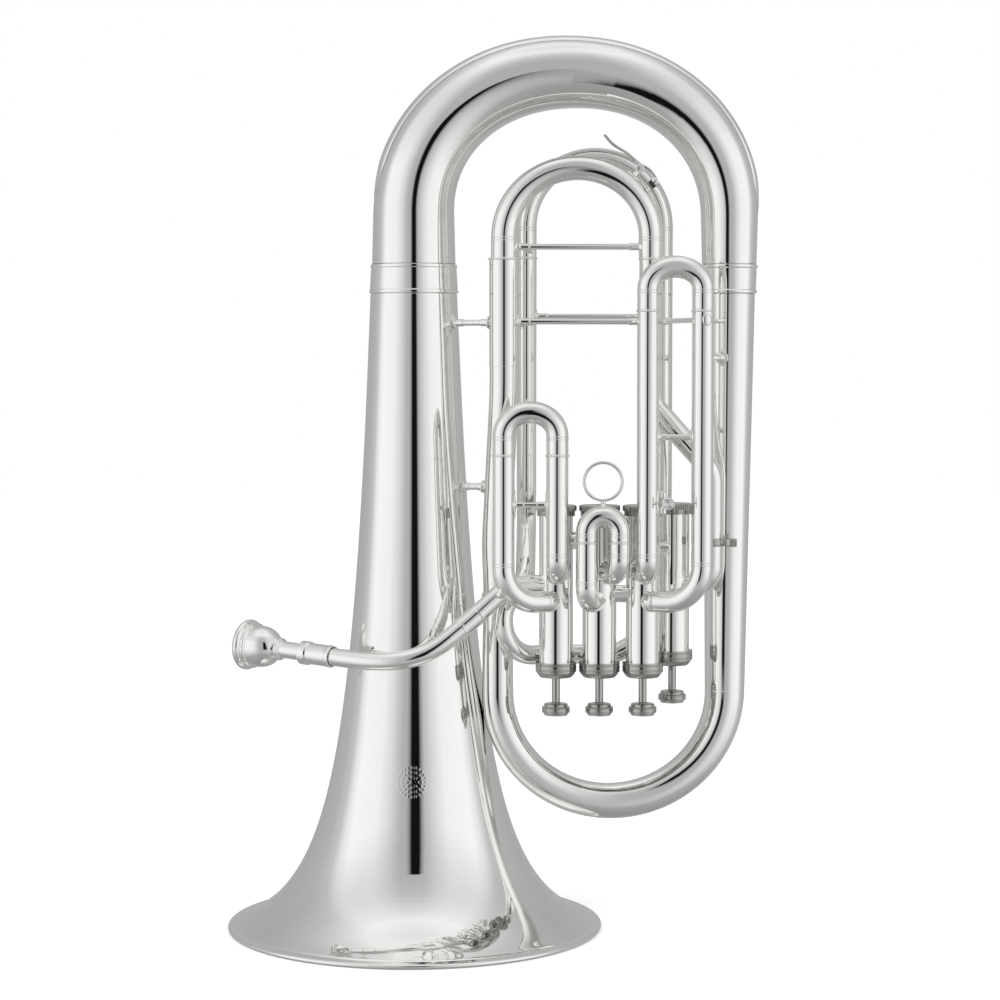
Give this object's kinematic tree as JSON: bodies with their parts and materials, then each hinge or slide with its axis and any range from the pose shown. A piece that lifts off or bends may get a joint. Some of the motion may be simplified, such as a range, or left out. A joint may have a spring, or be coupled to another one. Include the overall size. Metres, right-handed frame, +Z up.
{
  "type": "euphonium",
  "caption": "Brass euphonium standing on its bell: conical bows, piston valves with finger buttons, pull slides, water key and mouthpiece.",
  "frame": {"origin": "centre of the outline seen from above, on the plane the bell rim rests on; the bell axis is 58.5 mm towards -X", "axes": "+Z up, parallel to the bell axis, towards the large bow, +X towards the outer branch, -Y towards the valve slides and the viewer"},
  "size_m": [0.3967, 0.2798, 0.6632],
  "materials": {
    "silver_plate": "bright silver plate over brass, mirror polished",
    "nickel": "nickel-coloured caps, pistons and buttons, finely knurled on the rims",
    "spring_steel": "drawn spring wire",
    "cork": "black synthetic cork"
  },
  "bodies": {
    "root": {"bell": "silver_plate", "bell_ferrule": "silver_plate", "top_bow": "silver_plate", "bow_guard": "silver_plate", "bow_ferrule": "silver_plate", "outer_branch": "silver_plate", "lower_bow": "silver_plate", "branch_ferrule": "silver_plate", "third_branch": "silver_plate", "large_tuning_sleeve": "silver_plate", "small_tuning_sleeve": "silver_plate", "tail_tube": "silver_plate", "fourth_loop_inlet_tube": "silver_plate", "fourth_loop_outlet_tube": "silver_plate", "first_slide_inlet_tube": "silver_plate", "first_slide_outlet_tube": "silver_plate", "second_slide_inlet_tube": "silver_plate", "second_slide_outlet_tube": "silver_plate", "third_slide_inlet_tube": "silver_plate", "third_slide_outlet_tube": "silver_plate", "leadpipe": "silver_plate", "leadpipe_brace": "silver_plate", "mouthpiece_receiver": "silver_plate", "bell_upper_brace": "silver_plate", "bell_middle_brace": "silver_plate", "outer_branch_brace": "silver_plate", "lyre_holder": "silver_plate", "first_valve_casing": "silver_plate", "first_valve_top_cap": "nickel", "first_valve_bottom_cap": "nickel", "first_valve_spring": "spring_steel", "second_valve_casing": "silver_plate", "second_valve_top_cap": "nickel", "second_valve_bottom_cap": "nickel", "second_valve_spring": "spring_steel", "third_valve_casing": "silver_plate", "third_valve_top_cap": "nickel", "third_valve_bottom_cap": "nickel", "third_valve_spring": "spring_steel", "fourth_valve_casing": "silver_plate", "fourth_valve_top_cap": "nickel", "fourth_valve_bottom_cap": "nickel", "fourth_valve_spring": "spring_steel"},
    "first_piston_unit": {"first_piston": "nickel", "first_finger_button": "nickel"},
    "second_piston_unit": {"second_piston": "nickel", "second_finger_button": "nickel"},
    "third_piston_unit": {"third_piston": "nickel", "third_finger_button": "nickel"},
    "fourth_piston_unit": {"fourth_piston": "nickel", "fourth_finger_button": "nickel"},
    "tuning_slide": {"main_tuning_slide": "silver_plate"},
    "water_key_unit": {"water_key": "silver_plate", "water_key_cork": "cork"},
    "first_slide": {"first_slide": "silver_plate"},
    "second_slide": {"second_slide": "silver_plate"},
    "third_slide": {"third_slide": "silver_plate"},
    "fourth_slide": {"fourth_slide": "silver_plate"},
    "mouthpiece": {"mouthpiece": "silver_plate"},
    "lyre_screw": {"lyre_screw": "nickel"}
  },
  "joints": [
    {"name": "first_valve_press", "type": "slide", "parent": "root", "child": "first_piston_unit", "axis": [0, 0, 1], "range_m": [0, 0.0165], "stiffness_N_per_m": 250, "springref_m": -0.01, "deforming": ["first_valve_spring"]},
    {"name": "second_valve_press", "type": "slide", "parent": "root", "child": "second_piston_unit", "axis": [0, 0, 1], "range_m": [0, 0.0165], "stiffness_N_per_m": 250, "springref_m": -0.01, "deforming": ["second_valve_spring"]},
    {"name": "third_valve_press", "type": "slide", "parent": "root", "child": "third_piston_unit", "axis": [0, 0, 1], "range_m": [0, 0.0165], "stiffness_N_per_m": 250, "springref_m": -0.01, "deforming": ["third_valve_spring"]},
    {"name": "fourth_valve_press", "type": "slide", "parent": "root", "child": "fourth_piston_unit", "axis": [0, 0, 1], "range_m": [0, 0.0165], "stiffness_N_per_m": 250, "springref_m": -0.01, "deforming": ["fourth_valve_spring"]},
    {"name": "main_tuning_slide_pull", "type": "slide", "parent": "root", "child": "tuning_slide", "axis": [0, 0, 1], "range_m": [0, 0.045]},
    {"name": "water_key_press", "type": "hinge", "parent": "tuning_slide", "child": "water_key_unit", "pos_m": [0.1075, -0.03, 0.5636], "axis": [0, 1, 0], "range_deg": [-20, 0], "stiffness_Nm_per_rad": 0.05},
    {"name": "first_slide_pull", "type": "slide", "parent": "root", "child": "first_slide", "axis": [0, 0, 1], "range_m": [0, 0.055]},
    {"name": "second_slide_pull", "type": "slide", "parent": "root", "child": "second_slide", "axis": [0, 0, 1], "range_m": [0, 0.008]},
    {"name": "third_slide_pull", "type": "slide", "parent": "root", "child": "third_slide", "axis": [0, 0, 1], "range_m": [0, 0.09]},
    {"name": "fourth_slide_pull", "type": "slide", "parent": "root", "child": "fourth_slide", "axis": [0, 0, 1], "range_m": [0, 0.025]},
    {"name": "mouthpiece_pull", "type": "slide", "parent": "root", "child": "mouthpiece", "axis": [-0.8556, 0.5142, 0.0599], "range_m": [0, 0.04]},
    {"name": "lyre_screw_turn", "type": "hinge", "parent": "root", "child": "lyre_screw", "pos_m": [0.1254, -0.074, 0.3219], "axis": [0, 1, 0], "continuous": true}
  ]
}
